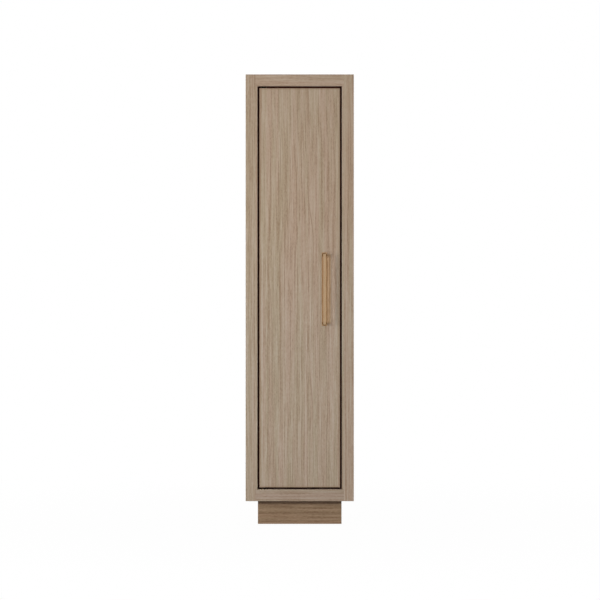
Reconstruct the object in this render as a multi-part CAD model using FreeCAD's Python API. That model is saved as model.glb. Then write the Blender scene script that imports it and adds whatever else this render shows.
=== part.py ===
"""A tall, narrow broom cupboard on a recessed plinth, with one inset door on pivot hinges.

Millimetres, +Z up. The door faces -Y and +X is to the right of someone who faces it. The origin is
on the floor, at the middle of the whole cupboard's width and depth, bar handle included. "Depth"
always means the distance behind the front frame's face.
"""

import FreeCAD, Part
import os
from math import asin, cos, hypot, pi, sin

os.makedirs("parts", exist_ok=True)
Vec = FreeCAD.Vector

# ---- Driving sizes -------------------------------------------------------------------------------

# Whole cupboard
CABINET_WIDTH = 457.2
CABINET_HEIGHT = 1905.0
CABINET_DEPTH = 457.2  # frame's face to the side panels' back edges
EDGE_EASE = 1.2  # rounding of the edges that hands meet

# Walls: an outer panel, battens and a thin lining, as thick together as the frame is wide
FRAME_WIDTH = 50.8
FRAME_THICKNESS = 22.0
PANEL_THICKNESS = 18.0
LINING_THICKNESS = 9.5
BATTEN_WIDTH = 40.0
BACK_THICKNESS = 6.0
BACK_INSET = 10.0

# Door
DOOR_THICKNESS = 22.0
DOOR_GAP = 7.0  # on all four sides
DOOR_SETBACK = 1.0  # behind the frame's face

# Bar handle on its backplate
HANDLE_CENTRES = 288.0
HANDLE_FROM_EDGE = 66.4  # bar's axis to the door's free edge
HANDLE_HEIGHT = 997.5  # handle's middle above the floor
BAR_DIAMETER = 10.0
BAR_END_ROUND = 1.0
FINGER_GAP = 27.5  # backplate's face to the bar's back
POST_DIAMETER = 8.0
POST_FOOT_DIAMETER = 18.0
POST_FOOT_THICKNESS = 3.0
POST_FOOT_BEVEL = 0.8
SPIGOT_DIAMETER = 5.0  # post's end inside the bar
SPIGOT_LENGTH = 6.0
BACKPLATE_MARGIN = 6.0  # past the bar, on all four sides
BACKPLATE_THICKNESS = 2.5
BACKPLATE_EDGE_ROUND = 0.8
HANDLE_SCREW_DIAMETER = 4.0
HANDLE_SCREW_GRIP = 15.5  # length inside the post
HANDLE_SCREW_HEAD = 9.0

# Pivot hinges, one in each rail
PIVOT_FROM_EDGE = 12.0  # pin's axis to the door's hinge edge
PIN_DIAMETER = 6.0
PIN_BEARING = 8.0  # length of pin past the door's leaf
PIN_END_AIR = 1.5  # past the pin's end, inside the bush
PIN_END_ROUND = 0.8
LEAF_LENGTH = 60.0
LEAF_WIDTH = 14.0
LEAF_THICKNESS = 2.5
BUSH_DIAMETER = 11.0
BUSH_FLOOR = 1.5
COLLAR_DIAMETER = 12.0
LEAF_SCREW_DIAMETER = 3.5
LEAF_SCREW_LENGTH = 25.0
LEAF_SCREW_HEAD = 7.0
LEAF_SCREW_PITCH = 20.0

# Stops and seals behind the door
STOP_WIDTH = 12.0
STOP_DEPTH = 12.0
TOP_STOP_DEPTH = 32.0
STOP_SWEEP_AIR = 3.0  # from the door's turning edge to the hinge side's seal and to the stops' ends
SEAL_THICKNESS = 2.0
SEAL_CLEARANCE = 0.3
HINGE_SEAL_WIDTH = 12.0
HINGE_SEAL_DEPTH = 5.0

# Magnetic catch under the top stop
CATCH_LENGTH = 46.0
CATCH_HEIGHT = 14.0
CATCH_DEPTH = 16.0
CATCH_CORNER = 2.0
CATCH_FROM_STOP = 24.0  # case's end to the latch stop
MAGNET_LENGTH = 20.0
MAGNET_HEIGHT = 8.0
MAGNET_PROUD = 1.0
MAGNET_IN_CASE = 9.6
STRIKE_THICKNESS = 1.5
STRIKE_LENGTH = 40.0
STRIKE_HEIGHT = 13.0
STRIKE_CORNER = 2.0
STRIKE_AIR = 0.3
CATCH_SCREW_LENGTH = 24.0
CATCH_SCREW_PITCH = 34.0
STRIKE_SCREW_LENGTH = 12.0
STRIKE_SCREW_PITCH = 26.0
SMALL_SCREW_DIAMETER = 3.0
SMALL_SCREW_HEAD = 5.6

# Shelf and its pins
SHELF_THICKNESS = 18.0
SHELF_TOP = 1560.0
SHELF_SIDE_CLEARANCE = 1.0
SHELF_FRONT_AIR = 16.0  # behind the door
SHELF_BACK_AIR = 2.0
SHELF_PIN_DIAMETER = 5.0
SHELF_PIN_HEAD = 7.0
SHELF_PIN_REACH = 8.0
SHELF_PIN_SOCKET = 8.0
SHELF_PIN_INSET = 45.0  # from the shelf's front and back edges
PIN_HOLE_PITCH = 32.0
PIN_HOLES_EACH_WAY = 3

# Rails on the back panel
RAIL_THICKNESS = 18.0
HANGING_RAIL_HEIGHT = 90.0
PEG_RAIL_HEIGHT = 70.0
PEG_RAIL_EASE = 3.0
RAIL_SCREW_FROM_SIDE = 52.5  # screws that hold the rails, from the opening's side
HANGING_SCREW_RISE = 18.0  # above the hanging rail's lower edge, below the wall holes
PEG_HEIGHT = 1440.0  # pegs' axis above the floor
PEG_PITCH = 105.0
PEG_LENGTH = 58.0
PEG_SPIGOT_DIAMETER = 10.0
PEG_SPIGOT_LENGTH = 12.0
PEG_FOOT_DIAMETER = 22.0
PEG_FOOT_THICKNESS = 2.5
PEG_FOOT_SLOPE = 4.5  # height of the taper from the foot to the neck
PEG_NECK_DIAMETER = 9.0
PEG_KNOB_DIAMETER = 18.0
PEG_KNOB_LENGTH = 15.0
PEG_KNOB_STEPS = 8  # facets of the knob's half outline
WALL_HOLE_DIAMETER = 6.5
WALL_HOLE_PITCH = 203.2

# Plinth and levelling feet
PLINTH_HEIGHT = 101.6
PLINTH_INSET = 50.8
PLINTH_THICKNESS = 18.0
BLOCK_SIZE = 44.0
BLOCK_HEIGHT = 50.0
BLOCK_SCREW_DIAMETER = 4.0
BLOCK_SCREW_LENGTH = 62.0
BLOCK_SCREW_HEAD = 8.0
BLOCK_SCREW_FROM_EDGE = 9.0
FOOT_DIAMETER = 32.0
FOOT_HEIGHT = 8.0
FOOT_EDGE_ROUND = 2.0
FOOT_HEX = 14.0  # across the flats
FOOT_HEX_HEIGHT = 5.0
FOOT_STUD_DIAMETER = 8.0
FOOT_STUD_TOP_AIR = 10.0  # stud's top to the bottom panel

# Dowels and back screws
DOWEL_DIAMETER = 8.0
FRAME_DOWEL_LENGTH = 40.0
FRAME_DOWEL_PITCH = 24.0
PANEL_DOWEL_LENGTH = 30.0
PANEL_DOWEL_IN_SIDE = 12.0
PANEL_DOWEL_FROM_END = 60.0
PANEL_DOWELS = 3
BACK_SCREW_DIAMETER = 3.5
BACK_SCREW_LENGTH = 22.0
BACK_SCREW_HEAD = 7.5
BACK_SCREW_FROM_END = 90.0
BACK_SCREW_ROWS = 6

# Fits
FIXED_FIT = 0.05  # radial or sideways room of a glued, pressed or screwed piece
RUNNING_FIT = 0.08  # radial room of the pivot pins and the feet's studs
THRUST_AIR = 0.2  # thrust collar to the door's leaf
SCREW_POINT = 3.0
CROSS_WIDTH = 0.9
CROSS_DEPTH = 1.2
CROSS_SHARE = 0.58  # span of the driver's cross to the head's diameter
PAN_RISE_SHARE = 0.32  # height of a domed head to its diameter

# ---- Places worked out from the driving sizes ----------------------------------------------------

HALF_WIDTH = CABINET_WIDTH / 2
BODY_BOTTOM = PLINTH_HEIGHT
OPENING_HALF = HALF_WIDTH - FRAME_WIDTH
OPENING_BOTTOM = BODY_BOTTOM + FRAME_WIDTH
OPENING_TOP = CABINET_HEIGHT - FRAME_WIDTH
STILE_INNER = OPENING_HALF + LINING_THICKNESS
PANEL_INNER = HALF_WIDTH - PANEL_THICKNESS
BACK_DEPTH = CABINET_DEPTH - BACK_INSET - BACK_THICKNESS  # back panel's front face

HANDLE_REACH = BACKPLATE_THICKNESS + FINGER_GAP + BAR_DIAMETER - DOOR_SETBACK  # past the frame
FRONT_Y = (HANDLE_REACH - CABINET_DEPTH) / 2

DOOR_HALF = OPENING_HALF - DOOR_GAP
DOOR_BOTTOM = OPENING_BOTTOM + DOOR_GAP
DOOR_TOP = OPENING_TOP - DOOR_GAP
DOOR_BACK = DOOR_SETBACK + DOOR_THICKNESS
DOOR_FACE_Y = FRONT_Y + DOOR_SETBACK
DOOR_BACK_Y = FRONT_Y + DOOR_BACK

PIVOT_X = -DOOR_HALF + PIVOT_FROM_EDGE
PIVOT_Y = DOOR_FACE_Y + DOOR_THICKNESS / 2
PIVOT_SWEEP = hypot(PIVOT_FROM_EDGE, DOOR_THICKNESS / 2)
LEAF_START_X = PIVOT_X - LEAF_WIDTH / 2
LEAF_SCREW_XS = [LEAF_START_X + LEAF_LENGTH - LEAF_WIDTH / 2 - LEAF_SCREW_PITCH * i for i in (0, 1)]

HANDLE_X = DOOR_HALF - HANDLE_FROM_EDGE
BACKPLATE_FACE_Y = DOOR_FACE_Y - BACKPLATE_THICKNESS
BAR_Y = BACKPLATE_FACE_Y - FINGER_GAP - BAR_DIAMETER / 2
BAR_HALF = HANDLE_CENTRES / 2 + POST_DIAMETER / 2 + BAR_END_ROUND
POST_HEIGHTS = [HANDLE_HEIGHT + side * HANDLE_CENTRES / 2 for side in (1, -1)]

STOP_FACE = DOOR_BACK + SEAL_CLEARANCE + SEAL_THICKNESS
STOP_START_X = PIVOT_X + PIVOT_SWEEP + STOP_SWEEP_AIR
HINGE_SEAL_FACE = PIVOT_Y - FRONT_Y + PIVOT_SWEEP + STOP_SWEEP_AIR

CATCH_RIGHT = OPENING_HALF - STOP_WIDTH - CATCH_FROM_STOP
CATCH_X = CATCH_RIGHT - CATCH_LENGTH / 2
CATCH_TOP = OPENING_TOP - STOP_WIDTH
CATCH_Z = CATCH_TOP - CATCH_HEIGHT / 2
MAGNET_FACE = DOOR_BACK + STRIKE_THICKNESS + STRIKE_AIR

SHELF_BOTTOM = SHELF_TOP - SHELF_THICKNESS
SHELF_FRONT = DOOR_BACK + SHELF_FRONT_AIR
SHELF_BACK = BACK_DEPTH - SHELF_BACK_AIR
SHELF_PIN_Z = SHELF_BOTTOM - SHELF_PIN_HEAD / 2
SHELF_PIN_DEPTHS = [SHELF_FRONT + SHELF_PIN_INSET, SHELF_BACK - SHELF_PIN_INSET]

RAIL_FACE = BACK_DEPTH - RAIL_THICKNESS
PEG_XS = {"left": -PEG_PITCH, "centre": 0.0, "right": PEG_PITCH}
WALL_HOLE_XS = [-WALL_HOLE_PITCH / 2, WALL_HOLE_PITCH / 2]
WALL_HOLE_Z = OPENING_TOP - HANGING_RAIL_HEIGHT / 2
HANGING_SCREW_Z = OPENING_TOP - HANGING_RAIL_HEIGHT + HANGING_SCREW_RISE

PLINTH_HALF = HALF_WIDTH - PLINTH_INSET
PLINTH_FRONT = PLINTH_INSET
PLINTH_BACK = CABINET_DEPTH - PLINTH_INSET
FOOT_X = PLINTH_HALF - PLINTH_THICKNESS - BLOCK_SIZE / 2
FOOT_DEPTHS = {
    "front": PLINTH_FRONT + PLINTH_THICKNESS + BLOCK_SIZE / 2,
    "back": PLINTH_BACK - PLINTH_THICKNESS - BLOCK_SIZE / 2,
}
SIDES = {"left": -1, "right": 1}

UP = Vec(0, 0, 1)
DOWN = Vec(0, 0, -1)
FORWARD = Vec(0, -1, 0)
BACKWARD = Vec(0, 1, 0)
RIGHT = Vec(1, 0, 0)


# ---- Shapes that the pieces share ----------------------------------------------------------------


def board(x_span, depth_span, z_span):
    """A board between two X places, two depths and two heights."""
    (x0, x1), (d0, d1), (z0, z1) = x_span, depth_span, z_span
    corner = Vec(x0, FRONT_Y + d0, z0)
    return Part.makeBox(x1 - x0, d1 - d0, z1 - z0, corner)


def side_span(side, inner, outer):
    """The X span between two distances from the middle, on the left (-1) or the right (1)."""
    return tuple(sorted((side * inner, side * outer)))


def near(value, place):
    return abs(value - place) < 0.01


def eased(shape, on_edge, radius=EDGE_EASE):
    """The shape with the edges rounded whose middle point on_edge picks."""
    edges = [edge for edge in shape.Edges if on_edge(edge.CenterOfMass)]
    return shape.makeFillet(radius, edges)


def placed(shape, base, axis):
    """A shape made along +Z from the origin, moved to base and turned along axis."""
    shape.Placement = FreeCAD.Placement(base, FreeCAD.Rotation(UP, axis))
    return shape


def turned(outline, base, axis):
    """A solid of revolution from (radius, height) corners, standing on base along axis."""
    corners = [Vec(radius, 0, height) for radius, height in outline]
    face = Part.Face(Part.makePolygon(corners + corners[:1]))
    return placed(face.revolve(Vec(0, 0, 0), UP, 360), base, axis)


def rod(base, axis, length, diameter):
    return Part.makeCylinder(diameter / 2, length, base, axis)


def hole(base, axis, length, diameter, room=FIXED_FIT):
    """The cutter for a round hole that takes a rod of this diameter."""
    return rod(base, axis, length, diameter + 2 * room)


def cross_recess(span):
    """The driver's cross in a screw head, cut downwards from height 0."""
    bars = [
        Part.makeBox(long, wide, CROSS_DEPTH * 2, Vec(-long / 2, -wide / 2, -CROSS_DEPTH))
        for long, wide in ((span, CROSS_WIDTH), (CROSS_WIDTH, span))
    ]
    return bars[0].fuse(bars[1])


def flat_screw(base, axis, length, diameter, head):
    """A countersunk screw whose head's face is at base, and the cutter for its hole."""
    r, h = diameter / 2, head / 2
    cone = h - r
    outline = [(0, 0), (h, 0), (r, cone), (r, length - SCREW_POINT), (0, length)]
    screw = turned(outline, Vec(0, 0, 0), UP).cut(cross_recess(head * CROSS_SHARE))
    f = FIXED_FIT
    room = [(0, -1), (h + f, -1), (h + f, f), (r + f, cone + f), (r + f, length + f), (0, length + f)]
    return placed(screw, base, axis), turned(room, base, axis)


def pan_screw(base, axis, length, diameter, head, shank_room=FIXED_FIT):
    """A screw whose domed head stands on base, and the cutter for its shank's hole."""
    r, h = diameter / 2, head / 2
    rise = head * PAN_RISE_SHARE
    dome = [(h * sin(turn), -rise * cos(turn)) for turn in (0, pi / 6, pi / 3, pi / 2)]
    outline = [*dome, (r, 0), (r, length - SCREW_POINT), (0, length)]
    recess = cross_recess(head * CROSS_SHARE)
    recess.translate(Vec(0, 0, -rise))
    screw = turned(outline, Vec(0, 0, 0), UP).cut(recess)
    return placed(screw, base, axis), hole(base, axis, length + FIXED_FIT, diameter, shank_room)


def group(solids):
    return Part.makeCompound(solids)


def cut_all(shape, cutters):
    return shape.cut(group(cutters)) if cutters else shape


# ---- Dowels: they set the holes in the frame and the outer panels ---------------------------------


def frame_dowel_places():
    """Where each dowel between a rail and a stile starts; it runs along +X."""
    depth_y = FRONT_Y + FRAME_THICKNESS / 2
    for rail_z in (BODY_BOTTOM + FRAME_WIDTH / 2, CABINET_HEIGHT - FRAME_WIDTH / 2):
        for side in SIDES.values():
            for step in (-0.5, 0.5):
                x = side * STILE_INNER - FRAME_DOWEL_LENGTH / 2
                yield Vec(x, depth_y, rail_z + step * FRAME_DOWEL_PITCH)


def panel_dowel_places():
    """Where each dowel between the top or bottom panel and a side panel starts, along +X too."""
    first = FRAME_THICKNESS + PANEL_DOWEL_FROM_END
    last = CABINET_DEPTH - PANEL_DOWEL_FROM_END
    step = (last - first) / (PANEL_DOWELS - 1)
    in_panel = PANEL_DOWEL_LENGTH - PANEL_DOWEL_IN_SIDE
    for z in (BODY_BOTTOM + PANEL_THICKNESS / 2, CABINET_HEIGHT - PANEL_THICKNESS / 2):
        for side in SIDES.values():
            x = PANEL_INNER - in_panel if side > 0 else -PANEL_INNER - PANEL_DOWEL_IN_SIDE
            for index in range(PANEL_DOWELS):
                yield Vec(x, FRONT_Y + first + index * step, z)


def make_dowels():
    frame = [rod(at, RIGHT, FRAME_DOWEL_LENGTH, DOWEL_DIAMETER) for at in frame_dowel_places()]
    panel = [rod(at, RIGHT, PANEL_DOWEL_LENGTH, DOWEL_DIAMETER) for at in panel_dowel_places()]
    return {"joint_dowels": group(frame + panel)}


def frame_dowel_holes():
    return [hole(at, RIGHT, FRAME_DOWEL_LENGTH, DOWEL_DIAMETER) for at in frame_dowel_places()]


def panel_dowel_holes():
    return [hole(at, RIGHT, PANEL_DOWEL_LENGTH, DOWEL_DIAMETER) for at in panel_dowel_places()]


# ---- Pivot hinges --------------------------------------------------------------------------------


def leaf_plate(z0, room=0.0):
    """A leaf's plate with round ends, its lower face at z0; room grows it for its mortise."""
    radius = LEAF_WIDTH / 2 + room
    first = Vec(LEAF_START_X + LEAF_WIDTH / 2, PIVOT_Y, z0)
    length = LEAF_LENGTH - LEAF_WIDTH
    middle = Part.makeBox(
        length, 2 * radius, LEAF_THICKNESS, Vec(first.x, first.y - radius, first.z)
    )
    ends = [
        Part.makeCylinder(radius, LEAF_THICKNESS, first + Vec(shift, 0, 0), UP)
        for shift in (0, length)
    ]
    return middle.fuse(ends).removeSplitter()


def make_pivot(level):
    """The hinge in the upper or lower rail: its pieces, and the cutters for the rail and the door."""
    upper = level == "upper"
    towards_rail = UP if upper else DOWN
    towards_door = DOWN if upper else UP
    rail_face = OPENING_TOP if upper else OPENING_BOTTOM
    door_edge = DOOR_TOP if upper else DOOR_BOTTOM
    frame_leaf_z = rail_face if upper else rail_face - LEAF_THICKNESS
    door_leaf_z = door_edge - LEAF_THICKNESS if upper else door_edge

    def on_axis(z):
        return Vec(PIVOT_X, PIVOT_Y, z)

    bore_depth = LEAF_THICKNESS + PIN_BEARING + PIN_END_AIR
    bush_depth = bore_depth + BUSH_FLOOR
    pin_length = LEAF_THICKNESS + DOOR_GAP + LEAF_THICKNESS + PIN_BEARING
    pin_base = on_axis(rail_face + (LEAF_THICKNESS if upper else -LEAF_THICKNESS))
    pin = eased(
        rod(pin_base, towards_door, pin_length, PIN_DIAMETER),
        lambda p: near(p.z, pin_base.z + towards_door.z * pin_length),
        PIN_END_ROUND,
    )
    bush = rod(on_axis(door_edge), towards_door, bush_depth, BUSH_DIAMETER)
    bore = hole(on_axis(door_edge), towards_door, bore_depth, PIN_DIAMETER, RUNNING_FIT)

    frame_screws, frame_room, door_screws, door_room = [], [], [], []
    for x in LEAF_SCREW_XS:
        size = (LEAF_SCREW_LENGTH, LEAF_SCREW_DIAMETER, LEAF_SCREW_HEAD)
        screw, room = flat_screw(Vec(x, PIVOT_Y, rail_face), towards_rail, *size)
        frame_screws.append(screw)
        frame_room.append(room)
        screw, room = flat_screw(Vec(x, PIVOT_Y, door_edge), towards_door, *size)
        door_screws.append(screw)
        door_room.append(room)

    frame_leaf = leaf_plate(frame_leaf_z)
    frame_leaf = cut_all(frame_leaf, [*frame_room, hole(pin_base, towards_door, pin_length, PIN_DIAMETER)])
    door_leaf = leaf_plate(door_leaf_z).fuse(bush).removeSplitter()
    door_leaf = cut_all(door_leaf, [*door_room, bore])
    bush_room = hole(on_axis(door_edge), towards_door, bush_depth, BUSH_DIAMETER)
    return {
        "pieces": {
            f"{level}_frame_leaf": frame_leaf,
            f"{level}_door_leaf": door_leaf,
            f"{level}_pivot_pin": pin,
        },
        "frame_screws": frame_screws,
        "door_screws": door_screws,
        "rail_cutters": [leaf_plate(frame_leaf_z, FIXED_FIT), *frame_room],
        "door_cutters": [leaf_plate(door_leaf_z, FIXED_FIT), bush_room, *door_room],
    }


def make_thrust_collar():
    """The ring that carries the door on the lower frame leaf."""
    base = Vec(PIVOT_X, PIVOT_Y, OPENING_BOTTOM)
    height = DOOR_GAP - THRUST_AIR
    ring = rod(base, UP, height, COLLAR_DIAMETER)
    return ring.cut(hole(base, UP, height, PIN_DIAMETER))


# ---- Front frame ---------------------------------------------------------------------------------


def make_frame(pivots):
    """Two stiles as tall as the body, with a rail between them at the top and the bottom."""
    depth = (0, FRAME_THICKNESS)
    dowel_holes = frame_dowel_holes()
    pieces = {}
    for name, side in SIDES.items():
        stile = board(side_span(side, STILE_INNER, HALF_WIDTH), depth, (BODY_BOTTOM, CABINET_HEIGHT))

        def on_outside(p, side=side):
            faces = (
                near(p.x, side * HALF_WIDTH), near(p.y, FRONT_Y),
                near(p.z, BODY_BOTTOM) or near(p.z, CABINET_HEIGHT),
            )
            return sum(faces) == 2

        pieces[f"{name}_stile"] = cut_all(eased(stile, on_outside), dowel_holes)
    width = (-STILE_INNER, STILE_INNER)
    for name, z_span, pivot in (
        ("bottom_rail", (BODY_BOTTOM, OPENING_BOTTOM), pivots["lower"]),
        ("top_rail", (OPENING_TOP, CABINET_HEIGHT), pivots["upper"]),
    ):
        rail = board(width, depth, z_span)
        rail = eased(rail, lambda p: near(p.y, FRONT_Y) and near(p.x, 0))
        pieces[name] = cut_all(rail, dowel_holes + pivot["rail_cutters"])
    return pieces


# ---- Walls, floor and ceiling --------------------------------------------------------------------


def make_outer_panels():
    depth = (FRAME_THICKNESS, CABINET_DEPTH)
    holes = panel_dowel_holes()
    pieces = {}
    for name, side in SIDES.items():
        panel = board(side_span(side, PANEL_INNER, HALF_WIDTH), depth, (BODY_BOTTOM, CABINET_HEIGHT))

        def on_outside(p, side=side):
            at_end = near(p.z, BODY_BOTTOM) or near(p.z, CABINET_HEIGHT)
            return near(p.x, side * HALF_WIDTH) and at_end

        pieces[f"{name}_side_panel"] = cut_all(eased(panel, on_outside), holes)
    width = (-PANEL_INNER, PANEL_INNER)
    bottom = board(width, depth, (BODY_BOTTOM, BODY_BOTTOM + PANEL_THICKNESS))
    top = board(width, depth, (CABINET_HEIGHT - PANEL_THICKNESS, CABINET_HEIGHT))
    pieces["bottom_panel"] = cut_all(bottom, holes + corner_block_screws()[1])
    pieces["top_panel"] = cut_all(top, holes)
    return pieces


def shelf_pin_holes():
    """The cutters for the rows of pin holes in both side linings."""
    cutters = []
    for step in range(-PIN_HOLES_EACH_WAY, PIN_HOLES_EACH_WAY + 1):
        z = SHELF_PIN_Z + step * PIN_HOLE_PITCH
        for depth in SHELF_PIN_DEPTHS:
            for side in SIDES.values():
                mouth = Vec(side * OPENING_HALF, FRONT_Y + depth, z)
                cutters.append(hole(mouth, RIGHT * side, SHELF_PIN_SOCKET, SHELF_PIN_DIAMETER))
    return cutters


def make_linings():
    """Thin panels that face the inside. The side linings' front edges frame the opening."""
    pin_holes = shelf_pin_holes()
    pieces = {}
    for name, side in SIDES.items():
        lining = board(
            side_span(side, OPENING_HALF, STILE_INNER), (0, BACK_DEPTH), (OPENING_BOTTOM, OPENING_TOP)
        )

        def on_mouth(p, side=side):
            return near(p.x, side * OPENING_HALF) and near(p.y, FRONT_Y)

        pieces[f"{name}_lining"] = cut_all(eased(lining, on_mouth), pin_holes)
    width, depth = (-PANEL_INNER, PANEL_INNER), (FRAME_THICKNESS, BACK_DEPTH)
    pieces["floor_lining"] = board(width, depth, (OPENING_BOTTOM - LINING_THICKNESS, OPENING_BOTTOM))
    pieces["ceiling_lining"] = board(width, depth, (OPENING_TOP, OPENING_TOP + LINING_THICKNESS))
    return pieces


def make_battens():
    """The spacers between each outer panel and its lining, bored for the back panel's screws."""
    middle = (FRAME_THICKNESS + BACK_DEPTH) / 2
    middle_span = (middle - BATTEN_WIDTH / 2, middle + BATTEN_WIDTH / 2)
    back_span = (BACK_DEPTH - BATTEN_WIDTH, BACK_DEPTH)
    front_span = (FRAME_THICKNESS, FRAME_THICKNESS + BATTEN_WIDTH)
    screw_room = back_screws()[1]
    width = (-PANEL_INNER, PANEL_INNER)
    levels = {
        "floor": (BODY_BOTTOM + PANEL_THICKNESS, OPENING_BOTTOM - LINING_THICKNESS),
        "ceiling": (OPENING_TOP + LINING_THICKNESS, CABINET_HEIGHT - PANEL_THICKNESS),
    }
    pieces = {}
    for name, z_span in levels.items():
        battens = [board(width, span, z_span) for span in (front_span, middle_span, back_span)]
        pieces[f"{name}_battens"] = group([cut_all(batten, screw_room) for batten in battens])
    for name, side in SIDES.items():
        x_span = side_span(side, STILE_INNER, PANEL_INNER)
        battens = [board(x_span, span, (OPENING_BOTTOM, OPENING_TOP)) for span in (middle_span, back_span)]
        pieces[f"{name}_wall_battens"] = group([cut_all(batten, screw_room) for batten in battens])
    return pieces


# ---- Back panel, the two rails on it and the pegs ------------------------------------------------


def back_screws():
    """The screws that hold the back panel, and the cutters for their holes."""
    edge_x = (STILE_INNER + PANEL_INNER) / 2
    low, high = OPENING_BOTTOM + BACK_SCREW_FROM_END, OPENING_TOP - BACK_SCREW_FROM_END
    step = (high - low) / (BACK_SCREW_ROWS - 1)
    places = [(side * edge_x, low + i * step) for side in (-1, 1) for i in range(BACK_SCREW_ROWS)]
    inner_x = OPENING_HALF - RAIL_SCREW_FROM_SIDE
    floor_z = (BODY_BOTTOM + PANEL_THICKNESS + OPENING_BOTTOM - LINING_THICKNESS) / 2
    ceiling_z = (OPENING_TOP + LINING_THICKNESS + CABINET_HEIGHT - PANEL_THICKNESS) / 2
    for z in (floor_z, PEG_HEIGHT, HANGING_SCREW_Z, ceiling_z):
        places += [(-inner_x, z), (inner_x, z)]
    back_y = FRONT_Y + BACK_DEPTH + BACK_THICKNESS
    made = [
        pan_screw(
            Vec(x, back_y, z), FORWARD, BACK_SCREW_LENGTH, BACK_SCREW_DIAMETER, BACK_SCREW_HEAD
        )
        for x, z in places
    ]
    return [screw for screw, _ in made], [room for _, room in made]


def make_back():
    screws, screw_room = back_screws()
    wall_holes = [
        rod(Vec(x, FRONT_Y + RAIL_FACE, WALL_HOLE_Z), BACKWARD, RAIL_THICKNESS + BACK_THICKNESS,
            WALL_HOLE_DIAMETER)
        for x in WALL_HOLE_XS
    ]
    back = board(
        (-PANEL_INNER, PANEL_INNER),
        (BACK_DEPTH, BACK_DEPTH + BACK_THICKNESS),
        (BODY_BOTTOM + PANEL_THICKNESS, CABINET_HEIGHT - PANEL_THICKNESS),
    )
    width, depth = (-OPENING_HALF, OPENING_HALF), (RAIL_FACE, BACK_DEPTH)
    hanging_rail = board(width, depth, (OPENING_TOP - HANGING_RAIL_HEIGHT, OPENING_TOP))
    half = PEG_RAIL_HEIGHT / 2
    peg_rail = board(width, depth, (PEG_HEIGHT - half, PEG_HEIGHT + half))
    rail_face_y = FRONT_Y + RAIL_FACE
    peg_rail = eased(peg_rail, lambda p: near(p.y, rail_face_y) and near(p.x, 0), PEG_RAIL_EASE)
    peg_sockets = [
        hole(Vec(x, FRONT_Y + RAIL_FACE, PEG_HEIGHT), BACKWARD, PEG_SPIGOT_LENGTH, PEG_SPIGOT_DIAMETER)
        for x in PEG_XS.values()
    ]
    return {
        "back_panel": cut_all(back, screw_room + wall_holes),
        "hanging_rail": cut_all(hanging_rail, screw_room + wall_holes),
        "peg_rail": cut_all(peg_rail, screw_room + peg_sockets),
        "back_panel_screws": group(screws),
    }


def make_pegs():
    """Turned pegs for brooms: a spigot in the rail, a foot, a slim neck and an oval knob."""
    neck, knob = PEG_NECK_DIAMETER / 2, PEG_KNOB_DIAMETER / 2
    foot, spigot = PEG_FOOT_DIAMETER / 2, PEG_SPIGOT_DIAMETER / 2
    half = PEG_KNOB_LENGTH / 2
    first_turn = asin(neck / knob)
    turns = [first_turn + (pi - first_turn) * i / PEG_KNOB_STEPS for i in range(PEG_KNOB_STEPS)]
    outline = [
        (0, -PEG_SPIGOT_LENGTH), (spigot, -PEG_SPIGOT_LENGTH), (spigot, 0), (foot, 0),
        (foot, PEG_FOOT_THICKNESS), (neck, PEG_FOOT_THICKNESS + PEG_FOOT_SLOPE),
        *[(knob * sin(turn), PEG_LENGTH - half - half * cos(turn)) for turn in turns],
        (0, PEG_LENGTH),
    ]
    return {
        f"broom_peg_{name}": turned(outline, Vec(x, FRONT_Y + RAIL_FACE, PEG_HEIGHT), FORWARD)
        for name, x in PEG_XS.items()
    }


# ---- Shelf ---------------------------------------------------------------------------------------


def make_shelf():
    half = OPENING_HALF - SHELF_SIDE_CLEARANCE
    shelf = board((-half, half), (SHELF_FRONT, SHELF_BACK), (SHELF_BOTTOM, SHELF_TOP))
    shelf = eased(shelf, lambda p: near(p.y, FRONT_Y + SHELF_FRONT) and near(p.x, 0))
    pins = []
    for side in SIDES.values():
        for depth in SHELF_PIN_DEPTHS:
            mouth = Vec(side * OPENING_HALF, FRONT_Y + depth, SHELF_PIN_Z)
            spigot = rod(mouth, RIGHT * side, SHELF_PIN_SOCKET, SHELF_PIN_DIAMETER)
            head = rod(mouth, RIGHT * -side, SHELF_PIN_REACH, SHELF_PIN_HEAD)
            pins.append(spigot.fuse(head))
    return {"upper_shelf": shelf, "shelf_pins": group(pins)}


# ---- Stops, seals and the magnetic catch ---------------------------------------------------------


def make_stops():
    """Strips that the door closes against, each with a dark seal on its face.

    On the hinge side the door's edge turns inwards, so there the seal stands behind its sweep.
    """
    top_depth = (STOP_FACE, STOP_FACE + TOP_STOP_DEPTH)
    depth = (STOP_FACE, STOP_FACE + STOP_DEPTH)
    seal_depth = (STOP_FACE - SEAL_THICKNESS, STOP_FACE)
    latch_x = (OPENING_HALF - STOP_WIDTH, OPENING_HALF)
    across = (STOP_START_X, OPENING_HALF - STOP_WIDTH)
    bottom_z = (OPENING_BOTTOM, OPENING_BOTTOM + STOP_WIDTH)
    top_z = (OPENING_TOP - STOP_WIDTH, OPENING_TOP)
    full_z = (OPENING_BOTTOM, OPENING_TOP)
    catch_room = catch_screws()[1]
    seals = [
        board(latch_x, seal_depth, full_z),
        board(across, seal_depth, bottom_z),
        board(across, seal_depth, top_z),
        board(
            (-OPENING_HALF, HINGE_SEAL_WIDTH - OPENING_HALF),
            (HINGE_SEAL_FACE, HINGE_SEAL_FACE + HINGE_SEAL_DEPTH), full_z,
        ),
    ]
    return {
        "latch_stop": board(latch_x, depth, full_z),
        "bottom_stop": board(across, depth, bottom_z),
        "top_stop": cut_all(board(across, top_depth, top_z), catch_room),
        "door_seals": group(seals),
    }


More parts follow.
